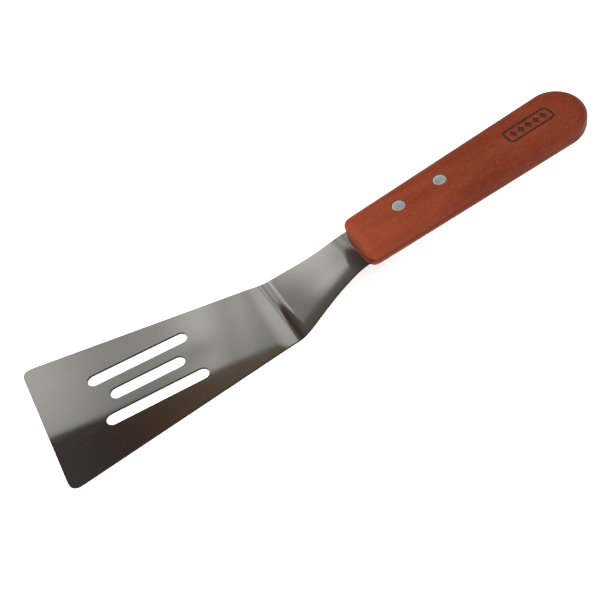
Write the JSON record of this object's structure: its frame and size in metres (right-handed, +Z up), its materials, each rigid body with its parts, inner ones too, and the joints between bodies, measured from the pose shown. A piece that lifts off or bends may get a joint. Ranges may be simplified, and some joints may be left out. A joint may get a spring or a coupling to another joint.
{
  "type": "grill spatula",
  "caption": "Slotted grill spatula: a flaring stainless blade with a cranked neck, riveted into a slit wooden handle with a rounded end.",
  "frame": {"origin": "under the middle of the whole spatula, on the surface that the blade lies on", "axes": "+X from the blade's front edge towards the handle's end, +Y to the left seen from the handle, +Z up, out of the blade's upper face"},
  "size_m": [0.2802, 0.0686, 0.0461],
  "materials": {
    "stainless_sheet": "polished sheet with a fine grain",
    "handle_wood": "reddish-brown hardwood under a satin lacquer",
    "wood_filler": "tinted wood filler, sanded flush and lacquered with the handle",
    "rivet_metal": "satin, slightly domed heads"
  },
  "bodies": {
    "root": {"blade": "stainless_sheet", "handle": "handle_wood", "left_slit_filler": "wood_filler", "right_slit_filler": "wood_filler", "front_rivet_post": "rivet_metal", "front_rivet_cap": "rivet_metal", "rear_rivet_post": "rivet_metal", "rear_rivet_cap": "rivet_metal"}
  },
  "joints": []
}
